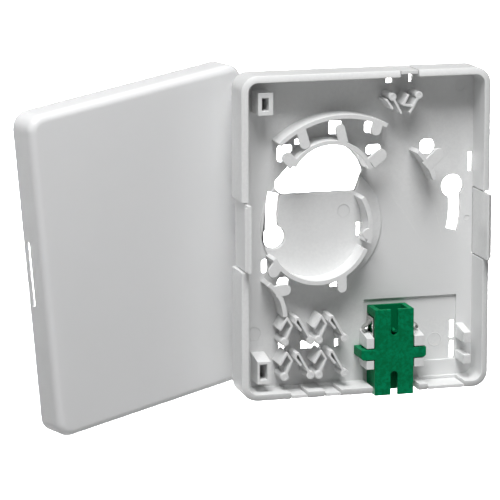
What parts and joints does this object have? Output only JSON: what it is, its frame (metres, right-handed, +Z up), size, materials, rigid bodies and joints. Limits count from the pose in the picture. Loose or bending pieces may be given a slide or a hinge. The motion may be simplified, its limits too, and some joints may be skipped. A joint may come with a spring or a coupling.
{
  "type": "fibre termination box",
  "caption": "Wall-mounted fibre termination box: open tray with cable spool, guides, clamps and a green fibre adapter, its press-fit cover beside it.",
  "frame": {"origin": "centre of the base's flat back face, on the wall", "axes": "+Z up as it hangs, +Y into the wall, the open front faces -Y, +X to the right as seen from the front"},
  "size_m": [0.1567, 0.0487, 0.1134],
  "materials": {
    "white_plastic": "satin moulded plastic",
    "white_gloss": "smooth moulded plastic",
    "green_plastic": "smooth moulded plastic",
    "latch_plastic": "moulded plastic",
    "ceramic": "polished ceramic",
    "spring_steel": "bright spring steel"
  },
  "bodies": {
    "base": {"base_shell": "white_plastic", "outer_fibre_guide": "white_plastic", "spool_wall_upper": "white_plastic", "spool_wall_right": "white_plastic", "spool_wall_lower": "white_plastic", "fibre_guide_left": "white_plastic", "fibre_guide_right": "white_plastic", "cable_clamps_upper": "white_plastic", "cable_clamps_lower": "white_plastic", "top_entry_clamps": "white_plastic", "cover_post_upper": "white_plastic", "cover_post_lower": "white_plastic", "adapter_posts_left": "white_plastic", "adapter_posts_middle": "white_plastic", "adapter_posts_right": "white_plastic"},
    "cover": {"front_cover": "white_gloss"},
    "adapter": {"adapter_housing_inner": "green_plastic", "adapter_housing_outer": "green_plastic", "adapter_latch_inner": "latch_plastic", "adapter_latch_outer": "latch_plastic", "alignment_sleeve": "ceramic", "adapter_spring_clip": "spring_steel"},
    "tab_left": {"snap_tab_left": "white_plastic"},
    "tab_right": {"snap_tab_right": "white_plastic"},
    "breakout_top": {"top_breakout": "white_plastic"},
    "breakout_bottom_left": {"bottom_breakout_left": "white_plastic"},
    "breakout_bottom_middle": {"bottom_breakout_middle": "white_plastic"},
    "breakout_bottom_right": {"bottom_breakout_right": "white_plastic"}
  },
  "joints": [
    {"name": "cover_take_away", "type": "slide", "parent": "base", "child": "cover", "axis": [-0.9211, -0.3893, 0], "range_m": [0, 0.045]},
    {"name": "adapter_pull_out", "type": "slide", "parent": "base", "child": "adapter", "axis": [0, -1, 0], "range_m": [0, 0.012]},
    {"name": "tab_left_flex", "type": "hinge", "parent": "base", "child": "tab_left", "pos_m": [-0.0399, -0.001, 0.00095], "axis": [0, 0, 1], "range_deg": [0, 4], "stiffness_Nm_per_rad": 0.3},
    {"name": "tab_right_flex", "type": "hinge", "parent": "base", "child": "tab_right", "pos_m": [0.0399, -0.001, 0.00095], "axis": [0, 0, -1], "range_deg": [0, 4], "stiffness_Nm_per_rad": 0.3},
    {"name": "top_panel_out", "type": "slide", "parent": "base", "child": "breakout_top", "axis": [0, -1, 0], "range_m": [0, 0.011]},
    {"name": "bottom_left_panel_out", "type": "slide", "parent": "base", "child": "breakout_bottom_left", "axis": [0, -1, 0], "range_m": [0, 0.011]},
    {"name": "bottom_middle_panel_out", "type": "slide", "parent": "base", "child": "breakout_bottom_middle", "axis": [0, -1, 0], "range_m": [0, 0.011]},
    {"name": "bottom_right_panel_out", "type": "slide", "parent": "base", "child": "breakout_bottom_right", "axis": [0, -1, 0], "range_m": [0, 0.011]}
  ]
}
